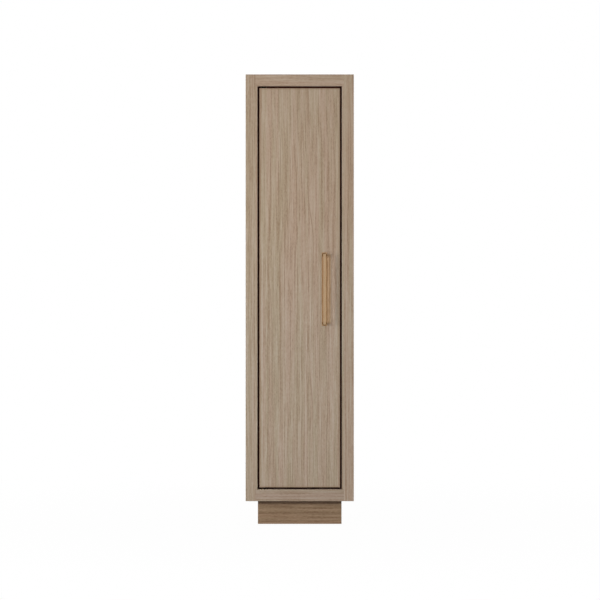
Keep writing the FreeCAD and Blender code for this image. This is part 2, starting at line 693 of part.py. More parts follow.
def catch_screws():
    """The screws that hold the magnet's case up against the top stop, and their holes' cutters."""
    depth = MAGNET_FACE + MAGNET_PROUD + CATCH_DEPTH / 2
    made = [
        flat_screw(
            Vec(CATCH_X + side * CATCH_SCREW_PITCH / 2, FRONT_Y + depth, CATCH_TOP - CATCH_HEIGHT),
            UP, CATCH_SCREW_LENGTH, SMALL_SCREW_DIAMETER, SMALL_SCREW_HEAD,
        )
        for side in (-1, 1)
    ]
    return [screw for screw, _ in made], [room for _, room in made]


def strike_screws():
    made = [
        flat_screw(
            Vec(CATCH_X + side * STRIKE_SCREW_PITCH / 2, DOOR_BACK_Y + STRIKE_THICKNESS, CATCH_Z),
            FORWARD, STRIKE_SCREW_LENGTH, SMALL_SCREW_DIAMETER, SMALL_SCREW_HEAD,
        )
        for side in (-1, 1)
    ]
    return [screw for screw, _ in made], [room for _, room in made]


def make_catch():
    """A magnet in a case inside, and a steel strike plate on the back of the door."""
    case_front = MAGNET_FACE + MAGNET_PROUD
    case = board(
        (CATCH_X - CATCH_LENGTH / 2, CATCH_X + CATCH_LENGTH / 2),
        (case_front, case_front + CATCH_DEPTH),
        (CATCH_TOP - CATCH_HEIGHT, CATCH_TOP),
    )
    case = eased(case, lambda p: near(p.z, CATCH_Z), CATCH_CORNER)

    def magnet_block(room):
        half, rise = MAGNET_LENGTH / 2 + room, MAGNET_HEIGHT / 2 + room
        return board(
            (CATCH_X - half, CATCH_X + half),
            (MAGNET_FACE, case_front + MAGNET_IN_CASE),
            (CATCH_Z - rise, CATCH_Z + rise),
        )

    half = STRIKE_LENGTH / 2
    plate = board(
        (CATCH_X - half, CATCH_X + half),
        (DOOR_BACK, DOOR_BACK + STRIKE_THICKNESS),
        (CATCH_Z - STRIKE_HEIGHT / 2, CATCH_Z + STRIKE_HEIGHT / 2),
    )
    plate = eased(plate, lambda p: near(p.y, DOOR_BACK_Y + STRIKE_THICKNESS / 2), STRIKE_CORNER)
    case_screws, case_room = catch_screws()
    plate_screws, plate_room = strike_screws()
    return {
        "magnet_case": cut_all(case, [magnet_block(FIXED_FIT), *case_room]),
        "catch_magnet": magnet_block(0.0),
        "catch_screws": group(case_screws),
        "strike_plate": cut_all(plate, plate_room),
        "strike_plate_screws": group(plate_screws),
    }


# ---- Door and its handle -------------------------------------------------------------------------


def handle_screws():
    """The screws through the door and the backplate into the posts, and the cutters for all three."""
    length = DOOR_THICKNESS + BACKPLATE_THICKNESS + HANDLE_SCREW_GRIP
    made = [
        pan_screw(
            Vec(HANDLE_X, DOOR_BACK_Y, z), FORWARD, length, HANDLE_SCREW_DIAMETER, HANDLE_SCREW_HEAD
        )
        for z in POST_HEIGHTS
    ]
    return [screw for screw, _ in made], [room for _, room in made]


def make_door(pivots):
    door = board(
        (-DOOR_HALF, DOOR_HALF), (DOOR_SETBACK, DOOR_BACK), (DOOR_BOTTOM, DOOR_TOP)
    )
    door = eased(door, lambda p: near(p.y, DOOR_FACE_Y) or near(p.y, DOOR_BACK_Y))
    cutters = pivots["upper"]["door_cutters"] + pivots["lower"]["door_cutters"]
    cutters += strike_screws()[1] + handle_screws()[1]
    return {"door_panel": cut_all(door, cutters)}


def make_handle():
    """A round bar on two posts that stand on a backplate, held by screws from inside the door."""
    half_width, half_length = BAR_DIAMETER / 2 + BACKPLATE_MARGIN, BAR_HALF + BACKPLATE_MARGIN
    plate = board(
        (HANDLE_X - half_width, HANDLE_X + half_width),
        (DOOR_SETBACK - BACKPLATE_THICKNESS, DOOR_SETBACK),
        (HANDLE_HEIGHT - half_length, HANDLE_HEIGHT + half_length),
    )
    plate = eased(plate, lambda p: near(p.y, BACKPLATE_FACE_Y), BACKPLATE_EDGE_ROUND)
    screws, screw_room = handle_screws()
    pieces = {"handle_backplate": cut_all(plate, screw_room), "handle_screws": group(screws)}

    bar_bottom = Vec(HANDLE_X, BAR_Y, HANDLE_HEIGHT - BAR_HALF)
    bar = rod(bar_bottom, UP, 2 * BAR_HALF, BAR_DIAMETER)
    bar = eased(bar, lambda p: not near(p.z, HANDLE_HEIGHT), BAR_END_ROUND)
    bar_room = hole(bar_bottom, UP, 2 * BAR_HALF, BAR_DIAMETER)
    post_r, foot_r = POST_DIAMETER / 2, POST_FOOT_DIAMETER / 2
    bar_axis = FINGER_GAP + BAR_DIAMETER / 2
    outline = [
        (0, 0), (foot_r, 0), (foot_r, POST_FOOT_THICKNESS - POST_FOOT_BEVEL),
        (foot_r - POST_FOOT_BEVEL, POST_FOOT_THICKNESS), (post_r, POST_FOOT_THICKNESS),
        (post_r, bar_axis), (0, bar_axis),
    ]
    tip = FINGER_GAP + SPIGOT_LENGTH
    sockets = []
    for name, z in zip(("upper", "lower"), POST_HEIGHTS):
        base = Vec(HANDLE_X, BACKPLATE_FACE_Y, z)
        spigot = rod(base, FORWARD, tip, SPIGOT_DIAMETER)
        post = turned(outline, base, FORWARD).cut(bar_room).fuse(spigot).removeSplitter()
        pieces[f"{name}_handle_post"] = cut_all(post, screw_room)
        sockets.append(hole(base, FORWARD, tip + FIXED_FIT, SPIGOT_DIAMETER))
    pieces["handle_bar"] = cut_all(bar, sockets)
    return pieces


# ---- Plinth and levelling feet -------------------------------------------------------------------


def corner_block_screws():
    """One screw up through each corner block into the bottom panel, and the holes' cutters."""
    reach = BLOCK_SIZE / 2 - BLOCK_SCREW_FROM_EDGE
    made = []
    for side in SIDES.values():
        for depth, inwards in ((FOOT_DEPTHS["front"], 1), (FOOT_DEPTHS["back"], -1)):
            x = side * (FOOT_X - reach)
            y = FRONT_Y + depth + inwards * reach
            made.append(
                flat_screw(
                    Vec(x, y, PLINTH_HEIGHT - BLOCK_HEIGHT), UP,
                    BLOCK_SCREW_LENGTH, BLOCK_SCREW_DIAMETER, BLOCK_SCREW_HEAD,
                )
            )
    return [screw for screw, _ in made], [room for _, room in made]


def make_plinth():
    """Four boards set in under the body, with a block in each corner that carries a foot."""
    z_span = (0, PLINTH_HEIGHT)
    width = (-PLINTH_HALF, PLINTH_HALF)
    front = board(width, (PLINTH_FRONT, PLINTH_FRONT + PLINTH_THICKNESS), z_span)
    back = board(width, (PLINTH_BACK - PLINTH_THICKNESS, PLINTH_BACK), z_span)
    front_y, back_y = FRONT_Y + PLINTH_FRONT, FRONT_Y + PLINTH_BACK
    pieces = {
        "plinth_front": eased(front, lambda p: near(abs(p.x), PLINTH_HALF) and near(p.y, front_y)),
        "plinth_back": eased(back, lambda p: near(abs(p.x), PLINTH_HALF) and near(p.y, back_y)),
    }
    between = (PLINTH_FRONT + PLINTH_THICKNESS, PLINTH_BACK - PLINTH_THICKNESS)
    for name, side in SIDES.items():
        x_span = side_span(side, PLINTH_HALF - PLINTH_THICKNESS, PLINTH_HALF)
        pieces[f"plinth_{name}"] = board(x_span, between, z_span)

    screws, screw_room = corner_block_screws()
    blocks = []
    for side in SIDES.values():
        for depth in FOOT_DEPTHS.values():
            block = board(
                side_span(side, FOOT_X - BLOCK_SIZE / 2, FOOT_X + BLOCK_SIZE / 2),
                (depth - BLOCK_SIZE / 2, depth + BLOCK_SIZE / 2),
                (PLINTH_HEIGHT - BLOCK_HEIGHT, PLINTH_HEIGHT),
            )
            base = Vec(side * FOOT_X, FRONT_Y + depth, PLINTH_HEIGHT - BLOCK_HEIGHT)
            stud_hole = hole(base, UP, BLOCK_HEIGHT, FOOT_STUD_DIAMETER, RUNNING_FIT)
            blocks.append(cut_all(block, [stud_hole, *screw_room]))
    pieces["corner_blocks"] = group(blocks)
    pieces["corner_block_screws"] = group(screws)
    return pieces


def make_feet():
    """Screw-in feet: a round pad on the floor, a hexagon to turn it by and a stud in its block."""
    pieces = {}
    stud_length = PLINTH_HEIGHT - FOOT_STUD_TOP_AIR - FOOT_HEIGHT
    for side_name, side in SIDES.items():
        for end_name, depth in FOOT_DEPTHS.items():
            base = Vec(side * FOOT_X, FRONT_Y + depth, 0)
            pad = rod(base, UP, FOOT_HEIGHT, FOOT_DIAMETER)
            pad = eased(pad, lambda p: near(p.z, FOOT_HEIGHT), FOOT_EDGE_ROUND)
            top = base + UP * FOOT_HEIGHT
            corner_radius = FOOT_HEX / 3 ** 0.5
            hexagon = Part.makePolygon([
                top + FreeCAD.Rotation(UP, 60 * turn).multVec(RIGHT * corner_radius)
                for turn in range(7)
            ])
            nut = Part.Face(hexagon).extrude(UP * FOOT_HEX_HEIGHT)
            stud = rod(top, UP, stud_length, FOOT_STUD_DIAMETER)
            foot = pad.fuse([nut, stud]).removeSplitter()
            pieces[f"levelling_foot_{end_name}_{side_name}"] = foot
    return pieces


# ---- The whole cupboard --------------------------------------------------------------------------


def make_cupboard():
    pivots = {level: make_pivot(level) for level in ("upper", "lower")}
    pieces = {
        **make_frame(pivots), **make_outer_panels(), **make_linings(), **make_battens(),
        **make_back(), **make_pegs(), **make_shelf(), **make_stops(), **make_catch(),
        **make_door(pivots), **make_handle(), **make_plinth(), **make_feet(), **make_dowels(),
        **pivots["upper"]["pieces"], **pivots["lower"]["pieces"],
    }
    pieces["thrust_collar"] = make_thrust_collar()
    pieces["frame_leaf_screws"] = group(pivots["upper"]["frame_screws"] + pivots["lower"]["frame_screws"])
    pieces["door_leaf_screws"] = group(pivots["upper"]["door_screws"] + pivots["lower"]["door_screws"])
    return pieces


for node, shape in make_cupboard().items():
    shape.exportStep(f"parts/{node}.step")
    print(f"{node}: {len(shape.Solids)} solid(s), {shape.Volume / 1000:.1f} cm3, valid {shape.isValid()}")
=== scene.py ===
# %% [markdown]
# # A tall broom cupboard in washed oak
#
# This notebook dresses a finished construction model: a narrow cupboard with one inset door, a
# brass bar handle and a plinth set back under the body. The joinery already has its real sizes, so
# the work here is the light, the camera and above all the surfaces. Each finish is built from noise
# patterns that are sized in metres, the way the real grain is, and not from pictures.

# %% Load the construction model
import math

import bmesh
import bpy
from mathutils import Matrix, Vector


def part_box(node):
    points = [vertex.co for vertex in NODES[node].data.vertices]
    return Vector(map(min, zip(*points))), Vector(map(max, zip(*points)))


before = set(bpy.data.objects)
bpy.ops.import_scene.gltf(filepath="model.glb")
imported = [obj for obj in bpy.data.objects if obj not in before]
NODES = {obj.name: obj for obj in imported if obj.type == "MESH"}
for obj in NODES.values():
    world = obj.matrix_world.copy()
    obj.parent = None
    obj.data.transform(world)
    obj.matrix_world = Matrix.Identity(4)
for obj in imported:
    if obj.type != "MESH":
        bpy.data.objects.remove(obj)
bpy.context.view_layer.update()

# %% [markdown]
# ## The viewpoint
#
# The cupboard is seen square on, from far away and a little below its middle, through a long lens.
# A long lens keeps the verticals parallel and hides the sides of the box. Its angle follows from
# two lengths that are easy to picture: how far away the viewer stands, and how wide a field the
# picture takes in at the front of the cupboard. A wide lens from nearby would show the same front,
# but the recessed plinth would sit too low and look too small.

# %% Camera
FIELD_WIDTH = 2.535  # what the square picture takes in at the front of the frame
VIEW_DISTANCE = 8.49
VIEW_HEIGHT = 0.9517
VIEW_SIDE = 0.0012
VIEW_REACH = 100  # past the far edge of the floor

front_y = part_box("left_stile")[0].y
camera_data = bpy.data.cameras.new("front_view")
camera_data.angle = 2 * math.atan(FIELD_WIDTH / 2 / VIEW_DISTANCE)
camera_data.clip_end = VIEW_REACH
camera = bpy.data.objects.new("front_view", camera_data)
camera.location = (VIEW_SIDE, front_y - VIEW_DISTANCE, VIEW_HEIGHT)
camera.rotation_euler = (math.pi / 2, 0, 0)
bpy.context.scene.collection.objects.link(camera)
bpy.context.scene.camera = camera
print(f"lens {camera_data.lens:.0f} mm")

# %% [markdown]
# ## Small helpers for shader nodes
#
# A procedural finish is a short chain of nodes. These helpers make one node each and return the
# output that the next one needs, so that a finish below reads from top to bottom like a recipe. The
# first few work on numbers and on places.

# %% Helpers: numbers and places
def put(socket, value):
    """Links the value into the socket if it comes from a node, and otherwise sets it there."""
    if isinstance(value, bpy.types.NodeSocket):
        socket.id_data.links.new(value, socket)
    else:
        socket.default_value = value


def calculate(tree, operation, *values):
    """One arithmetic step on numbers."""
    node = tree.nodes.new("ShaderNodeMath")
    node.operation = operation
    for socket, value in zip(node.inputs, values):
        put(socket, value)
    return node.outputs[0]


def vector_step(tree, operation, first, second):
    """One step on two places."""
    node = tree.nodes.new("ShaderNodeVectorMath")
    node.operation = operation
    put(node.inputs[0], first)
    put(node.inputs[1], second)
    return node.outputs[0]


def counted_in(tree, vector, size):
    """The place counted in steps of this size, which may itself come from a node."""
    node = tree.nodes.new("ShaderNodeVectorMath")
    node.operation = "SCALE"
    put(node.inputs[0], vector)
    put(node.inputs["Scale"], calculate(tree, "DIVIDE", 1.0, size))
    return node.outputs[0]


def split(tree, vector):
    """The place's three axes, by name."""
    node = tree.nodes.new("ShaderNodeSeparateXYZ")
    put(node.inputs[0], vector)
    return node.outputs


def object_place(tree):
    """The place on the piece itself, which stays put when the piece moves."""
    return tree.nodes.new("ShaderNodeTexCoord").outputs["Object"]


# %% [markdown]
# ### Noise, masks and colours
#
# Noise is the raw material of every pattern here. A ramp turns it into a mask, which says how much
# of an effect there is at a place, and a mix uses the mask to lay one colour over another. Colours
# are easiest to choose as a screen shows them, but the shader counts light, so they are converted.

# %% Helpers: noise, masks and colours
def clouds(tree, vector, detail=2.0):
    """Soft noise between 0 and 1, whose cells are about as large as one unit of the vector."""
    node = tree.nodes.new("ShaderNodeTexNoise")
    put(node.inputs["Vector"], vector)
    node.inputs["Scale"].default_value = 1.0
    node.inputs["Detail"].default_value = detail
    return node.outputs["Fac"]


def ramp(tree, value, start, end, low=0.0, high=1.0):
    """Goes smoothly from low to high while the value goes from start to end."""
    node = tree.nodes.new("ShaderNodeMapRange")
    node.interpolation_type = "SMOOTHSTEP"
    for socket, number in zip(node.inputs, (value, start, end, low, high)):
        put(socket, number)
    return node.outputs["Result"]


def fade(tree, value, start, end):
    """Goes smoothly from 1 to 0 while the value goes from start to end."""
    return ramp(tree, value, start, end, 1.0, 0.0)


# The Mix node has a set of sockets for each kind of data. These are the ones for colours.
MIX_INPUTS = (0, 6, 7)
MIX_RESULT = 2


def mix_colours(tree, share, first, second, mode="MIX"):
    """The first colour, with this share of the second laid over it."""
    node = tree.nodes.new("ShaderNodeMix")
    node.data_type = "RGBA"
    node.blend_type = mode
    for index, value in zip(MIX_INPUTS, (share, first, second)):
        put(node.inputs[index], value)
    return node.outputs[MIX_RESULT]


def tone(red, green, blue):
    """A colour as a screen shows it, 0 to 255, made linear for the shader by the sRGB curve."""
    channels = [value / 255 for value in (red, green, blue)]
    return (*[c / 12.92 if c <= 0.04045 else ((c + 0.055) / 1.055) ** 2.4 for c in channels], 1.0)


print(f"half of a screen's white is {tone(128, 128, 128)[0]:.0%} of its light")

# %% [markdown]
# ### Groups and materials
#
# A node group is a part of a recipe that several finishes share. It has named inputs, so that each
# finish can use it with its own sizes. What is the same all over a surface is simply set on the
# shader.

# %% Helpers: node groups and materials
def new_group(name, inputs, outputs):
    """An empty shader group with these named sockets: its tree, and its inputs by name."""
    tree = bpy.data.node_groups.new(name, "ShaderNodeTree")
    for label, default in inputs.items():
        kind = "NodeSocketVector" if label == "Vector" else "NodeSocketFloat"
        socket = tree.interface.new_socket(label, in_out="INPUT", socket_type=kind)
        if default is not None:
            socket.default_value = default
    for label in outputs:
        tree.interface.new_socket(label, in_out="OUTPUT", socket_type="NodeSocketFloat")
    return tree, tree.nodes.new("NodeGroupInput").outputs


def close_group(tree, results):
    """Joins the results to the group's output sockets by name, and returns the finished group."""
    output = tree.nodes.new("NodeGroupOutput")
    for label, value in results.items():
        put(output.inputs[label], value)
    print(f"the group {tree.name} gives {', '.join(results)}")
    return tree


def use_group(tree, group, **values):
    """The group placed in a material's tree, with some of its inputs set: its outputs by name."""
    node = tree.nodes.new("ShaderNodeGroup")
    node.node_tree = group
    for label, value in values.items():
        put(node.inputs[label.replace("_", " ")], value)
    return node.outputs


def new_material(name, **constants):
    """A material with plain constants on its shader: the material, its tree and the shader."""
    material = bpy.data.materials.new(name)
    material.use_nodes = True
    tree = material.node_tree
    shader = tree.nodes["Principled BSDF"]
    for label, value in constants.items():
        shader.inputs[label.replace("_", " ")].default_value = value
    return material, tree, shader


def raise_bumps(tree, shader, height, depth):
    """Height between 0 and 1 as relief of this depth in metres."""
    node = tree.nodes.new("ShaderNodeBump")
    node.inputs["Distance"].default_value = depth
    put(node.inputs["Height"], height)
    put(shader.inputs["Normal"], node.outputs[0])


# %% [markdown]
# ## Grain
#
# Oak that is cut along the trunk shows several things at once, each at its own size: broad bands of
# slightly different tint, a figure of lines, a few thin dark veins where one year meets the next,
# and fine fibre with open pores like short pen strokes. All of them run along the board and wander
# a little. Because every wooden piece needs them, they are one node group. It hands out plain
# masks, so each material can colour them in its own way. The wandering comes first: it bends the
# places themselves, so that whatever is drawn on them later bends together.

# %% The shared grain group: the grain runs along Z of the vector that it is given
SWAYS_PER_METRE = (1.1, 1.1, 0.8)

tree, given = new_group(
    "wood_grain",
    {
        "Vector": None,
        "Wander": 0.012,
        "Band Width": 0.032,
        "Line Width": 0.0065,
        "Streak Width": 0.0045,
        "Vein Spacing": 0.045,
        "Pore Width": 0.0006,
    },
    ("Bands", "Figure", "Veins", "Fibre", "Pores", "Height"),
)
sways = clouds(tree, vector_step(tree, "MULTIPLY", given["Vector"], SWAYS_PER_METRE))
either_way = calculate(tree, "SUBTRACT", sways, 0.5)
aside = calculate(tree, "MULTIPLY", either_way, given["Wander"])
combine = tree.nodes.new("ShaderNodeCombineXYZ")
put(combine.inputs["X"], aside)
put(combine.inputs["Y"], aside)
place = vector_step(tree, "ADD", given["Vector"], combine.outputs[0])
print(f"the grain sways about once in {1 / SWAYS_PER_METRE[2]:.1f} m of its length")

# %% [markdown]
# ### Bands and figure
#
# The bands are about 3 cm wide, and very long. The figure is finer. It adds up long lines, shorter
# streaks and little flecks, because one kind of noise alone looks combed. Noise that is drawn out
# along one axis gives all four.

# %% The shared grain group: bands and figure
FLECK_WIDTH = 0.0035
LINES_PART, STREAKS_PART, FLECKS_PART = 0.47, 0.33, 0.2


def along_grain(tree, vector, width, ratio, detail=2.0):
    """Noise in streaks that are this wide and ratio times as long."""
    drawn_out = vector_step(tree, "MULTIPLY", vector, (1.0, 1.0, 1.0 / ratio))
    return clouds(tree, counted_in(tree, drawn_out, width), detail)


bands = along_grain(tree, place, given["Band Width"], ratio=45)
lines = along_grain(tree, place, given["Line Width"], ratio=150, detail=3)
streaks = along_grain(tree, place, given["Streak Width"], ratio=32, detail=1)
flecks = along_grain(tree, place, FLECK_WIDTH, ratio=3.5, detail=1)
figure = calculate(tree, "MULTIPLY", lines, LINES_PART)
figure = calculate(tree, "MULTIPLY_ADD", streaks, STREAKS_PART, figure)
figure = calculate(tree, "MULTIPLY_ADD", flecks, FLECKS_PART, figure)
print(f"lines, streaks and flecks add up to {LINES_PART + STREAKS_PART + FLECKS_PART:.2f}")

# %% [markdown]
# ### Veins
#
# A vein is the edge of a year's growth. The saw meets the years one after the other on its way
# across the board, and cuts them on the slant, so the count of years rises sideways and into the
# depth. Its fraction starts from 0 at each new year, and that start is the vein. Patches make the
# veins come and go, as they do where the cut touches them only lightly.

# %% The shared grain group: veins
SLANT = 0.7  # how far the years shift sideways for each metre into the board
BENDS_PER_METRE = (7, 7, 1.4)
BEND = 2.2  # the farthest that a year bends aside, in years
VEIN_PART = 0.09  # of a year
PATCH_WIDTH = 0.02
PATCH_EDGE = (0.4, 0.6)

axes = split(tree, place)
sideways = calculate(tree, "MULTIPLY_ADD", axes["Y"], SLANT, axes["X"])
straight = calculate(tree, "DIVIDE", sideways, given["Vein Spacing"])
bends = clouds(tree, vector_step(tree, "MULTIPLY", place, BENDS_PER_METRE))
years = calculate(tree, "ADD", straight, calculate(tree, "MULTIPLY", bends, BEND))
year_edge = fade(tree, calculate(tree, "FRACT", years), 0.0, VEIN_PART)
patches = ramp(tree, along_grain(tree, place, PATCH_WIDTH, ratio=16, detail=1), *PATCH_EDGE)
veins = calculate(tree, "MULTIPLY", year_edge, patches)
print(f"a vein takes up {VEIN_PART:.0%} of a year")

# %% [markdown]
# ### Fibre and pores
#
# Fibre is the finest streak, and the hand feels it as a slight ribbing. Pores are cut vessels: tiny
# grooves, which crowd in the darker part of the figure. Pores and veins lie a little deeper than
# the fibre round them, so they are taken off its height.

# %% The shared grain group: fibre and pores
FIBRE_WIDTH = 0.0016
PORE_EDGE = (0.60, 0.70)
PORES_THIN_OUT = (0.6, 0.42)  # from none in the light figure to all in the dark

fibre = along_grain(tree, place, FIBRE_WIDTH, ratio=40)
dots = ramp(tree, along_grain(tree, place, given["Pore Width"], ratio=18, detail=1), *PORE_EDGE)
pores = calculate(tree, "MULTIPLY", dots, ramp(tree, figure, *PORES_THIN_OUT))
height = calculate(tree, "SUBTRACT", fibre, calculate(tree, "MAXIMUM", pores, veins))
WOOD_GRAIN = close_group(tree, {
    "Bands": bands, "Figure": figure, "Veins": veins, "Fibre": fibre, "Pores": pores,
    "Height": height,
})

# %% [markdown]
# ## The painted shade round the door
#
# The arrises along the gap round the door are slightly rounded, and a dark brown is painted along
# them: painted shade, so the line looks wider and browner than the empty gap. The same mask serves
# the door and the frame: it measures how far a place is from the middle line of the gap, inwards or
# outwards. It ends at the door's back, so that the linings keep their plain oak inside.

# %% The shared group that finds the edges along the gap
PAINTED_SHADE_ENDS_OVER = 0.004  # in front of the door's back

door_low, door_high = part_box("door_panel")
GAP = door_low.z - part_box("bottom_rail")[1].z

tree, given = new_group("near_gap", {"Vector": None, "Reach": 0.002}, ("Mask",))
axes = split(tree, given["Vector"])
outside = None
for axis, low, high in (("X", door_low.x, door_high.x), ("Z", door_low.z, door_high.z)):
    for past in (
        calculate(tree, "SUBTRACT", low - GAP / 2, axes[axis]),
        calculate(tree, "SUBTRACT", axes[axis], high + GAP / 2),
    ):
        outside = past if outside is None else calculate(tree, "MAXIMUM", outside, past)
from_edge = calculate(tree, "SUBTRACT", calculate(tree, "ABSOLUTE", outside), GAP / 2)
near = fade(tree, calculate(tree, "DIVIDE", from_edge, given["Reach"]), 0.0, 1.0)
in_front = fade(tree, axes["Y"], door_high.y - PAINTED_SHADE_ENDS_OVER, door_high.y)
NEAR_GAP = close_group(tree, {"Mask": calculate(tree, "MULTIPLY", near, in_front)})
print(f"the gap is {GAP * 1000:.1f} mm wide")

# %% [markdown]
# ## Where the oak's colour is tinted
# The oak isn't the same colour all over. Low down it is a little greyer. Beside the handle, on the
# side where the bar's shadow falls, golden light is painted on the door's face: a painted
# reflection, as if thrown back from the brass. Each is a mask of its own, measured from the real
# sizes, and the finish multiplies its colour by a tint there, so the grain stays as it is.

# %% The shared group that finds the greyer oak
ALL_GREY_BELOW, PLAIN_ABOVE = 0.7, 1.4

tree, given = new_group("low_down", {"Vector": None}, ("Mask",))
mask = fade(tree, split(tree, given["Vector"])["Z"], ALL_GREY_BELOW, PLAIN_ABOVE)
LOW_DOWN = close_group(tree, {"Mask": mask})

# %% The shared group that finds where golden light is painted beside the handle
GOLD_STARTS = (0.006, 0.010)  # to the right of the bar's axis
GOLD_ENDS = (0.022, 0.032)
PAST_BAR_END = (-0.008, 0.004)
BEHIND_FACE = (0.002, 0.004)  # of the door

bar_low, bar_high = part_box("handle_bar")
bar_middle = (bar_low + bar_high) / 2
half_bar = (bar_high.z - bar_low.z) / 2

tree, given = new_group("by_the_handle", {"Vector": None}, ("Mask",))
axes = split(tree, given["Vector"])
beside = calculate(tree, "SUBTRACT", axes["X"], bar_middle.x)
above = calculate(tree, "ABSOLUTE", calculate(tree, "SUBTRACT", axes["Z"], bar_middle.z))
mask = ramp(tree, beside, *GOLD_STARTS)
for limit in (
    fade(tree, beside, *GOLD_ENDS),
    fade(tree, above, *[half_bar + past for past in PAST_BAR_END]),
    fade(tree, axes["Y"], *[door_low.y + depth for depth in BEHIND_FACE]),
):
    mask = calculate(tree, "MULTIPLY", mask, limit)
BY_THE_HANDLE = close_group(tree, {"Mask": mask})
print(f"the bar is {half_bar * 2000:.0f} mm long")

# %% [markdown]
# ## Wood finishes
#
# One function makes every wooden finish from the grain group. It takes the direction in which the
# board was cut, and a shift, so that two neighbouring boards never show the same stretch of grain:
# that is what tells the eye that they are separate pieces. The Mapping node turns the pattern, and
# the pattern is read from Object coordinates, which stay put when the piece moves.

# %% Wood finish: where on the piece, and in which direction
TURNS = {"up": (0, 0, 0), "across": (0, math.pi / 2, 0), "deep": (math.pi / 2, 0, 0)}
NEXT_BOARD = (0.37, 0.61, 1.9)  # from one board's stretch of the pattern to the next one's


def board_place(tree, direction, shift):
    """Object coordinates turned so that the board's grain runs along Z, and shifted."""
    mapping = tree.nodes.new("ShaderNodeMapping")
    put(mapping.inputs["Vector"], object_place(tree))
    mapping.inputs["Rotation"].default_value = TURNS[direction]
    mapping.inputs["Location"].default_value = [step * shift for step in NEXT_BOARD]
    return mapping.outputs[0]


print("the grain may run:", ", ".join(TURNS))

# %% [markdown]
# ### The grain's colours
#
# The masks are coloured in the order in which they lie on the wood. Two tints make the bands, then
# a lighter and a darker one draw the figure, and fibre and veins add more of the dark. The pores
# come last. They are open, so each is darker than whatever colour it lies in: a shade multiplies
# the colour there instead of covering it.

# %% Wood finish: its colours
TINT_EDGE = (0.36, 0.64)  # between the two tints of the bands
LIGHT_FIGURE = (0.48, 0.64)
DARK_FIGURE = (0.52, 0.36)
FIGURE_SHARE, VEIN_SHARE, PORE_SHARE = 0.78, 0.8, 0.8
DARK_FIBRE = (0.75, 0.3, 0.0, 0.25)  # the last is its greatest share
PORE_SHADE = (0.62, 0.56, 0.5, 1.0)


def colour_wood(tree, grain, tints, dark):
    """Colours the grain's masks with three tints, warm, cool and light, and a dark colour."""
    warm, cool, light = tints
    colour = mix_colours(tree, ramp(tree, grain["Bands"], *TINT_EDGE), warm, cool)
    for edge, tint in ((LIGHT_FIGURE, light), (DARK_FIGURE, dark)):
        share = calculate(tree, "MULTIPLY", ramp(tree, grain["Figure"], *edge), FIGURE_SHARE)
        colour = mix_colours(tree, share, colour, tint)
    colour = mix_colours(tree, ramp(tree, grain["Fibre"], *DARK_FIBRE), colour, dark)
    share = calculate(tree, "MULTIPLY", grain["Veins"], VEIN_SHARE)
    colour = mix_colours(tree, share, colour, dark)
    share = calculate(tree, "MULTIPLY", grain["Pores"], PORE_SHARE)
    return mix_colours(tree, share, colour, PORE_SHADE, "MULTIPLY")


# %% [markdown]
# ### The whole finish
#
# A washed surface is dull, and dullest along the open fibre, so the roughness follows the fibre.
# The relief is a tenth of a millimetre: enough to break up a reflection, and too little to see as
# a shape. The tinted areas and the painted shade along the gap are laid over the grain at the end.

# %% Wood finish: the material
WOOD_SHINE = 0.35
FIBRE_RANGE = (0.2, 0.8)
WOOD_ROUGHNESS = (0.52, 0.66)  # over that range of the fibre
WOOD_RELIEF = 0.00012
UNSHADED = (1, 1, 1)


def wood(name, direction, shift, colours, shade=UNSHADED, painted_gap_shades=(), tinted_areas=(), **grain_sizes):
    """A wooden finish for boards cut in one direction. The shade scales red, green and blue.

    Each of the painted gap shades is painted shade along the gap: how far it reaches, how strong
    it is, its colour. Each of the tinted areas is the group that finds it, and the tint it has
    there.
    """
    *tints, dark = [tone(*[c * part for c, part in zip(colour, shade)]) for colour in colours]
    material, tree, shader = new_material(name, Specular_IOR_Level=WOOD_SHINE)
    grain = use_group(tree, WOOD_GRAIN, Vector=board_place(tree, direction, shift), **grain_sizes)
    colour = colour_wood(tree, grain, tints, dark)
    place = object_place(tree)
    for area, tint in tinted_areas:
        mask = use_group(tree, area, Vector=place)["Mask"]
        colour = mix_colours(tree, mask, colour, tint, "MULTIPLY")
    for reach, strength, shade_paint in painted_gap_shades:
        mask = use_group(tree, NEAR_GAP, Vector=place, Reach=reach)["Mask"]
        share = calculate(tree, "MULTIPLY", mask, strength)
        colour = mix_colours(tree, share, colour, tone(*shade_paint))
    put(shader.inputs["Base Color"], colour)
    put(shader.inputs["Roughness"], ramp(tree, grain["Fibre"], *FIBRE_RANGE, *WOOD_ROUGHNESS))
    raise_bumps(tree, shader, grain["Height"], WOOD_RELIEF)
    return material


# %% [markdown]
# ### The colours of each wood
#
# Each wood is four colours: a warm and a cool tint, a light and a dark. The oak's lie close
# together, because the wash evens them out. The painted shade along the gap and the tints for its
# special places are here too.

# %% Wood finish: the woods
OAK = (162, 141, 123), (156, 141, 119), (172, 157, 141), (134, 111, 89)
# a darker oak, with painted shade for the plinth's recess in it as well
PLINTH_OAK_AND_SHADE = (143, 115, 92), (133, 112, 88), (154, 130, 107), (98, 72, 54)
PINE = (206, 174, 128), (212, 184, 142), (222, 198, 158), (168, 126, 82)
BEECH = (204, 166, 128), (198, 164, 124), (212, 178, 142), (162, 118, 84)
# greyer towards the bottom of the cupboard
GREYER = (LOW_DOWN, (1.0, 1.035, 1.075, 1.0))
# painted golden light from the brass, laid on the door where the bar's shadow falls
PAINTED_BRASS_GLOW = (BY_THE_HANDLE, (1.2, 1.07, 0.85, 1.0))
# painted shade along the gap: a dark brown laid on the edges that line it
GAP_PAINTED_SHADE = (0.8, (56, 34, 27))  # how strong it is, and its colour
print("the washed oak, warm, cool, light and dark:", *OAK)

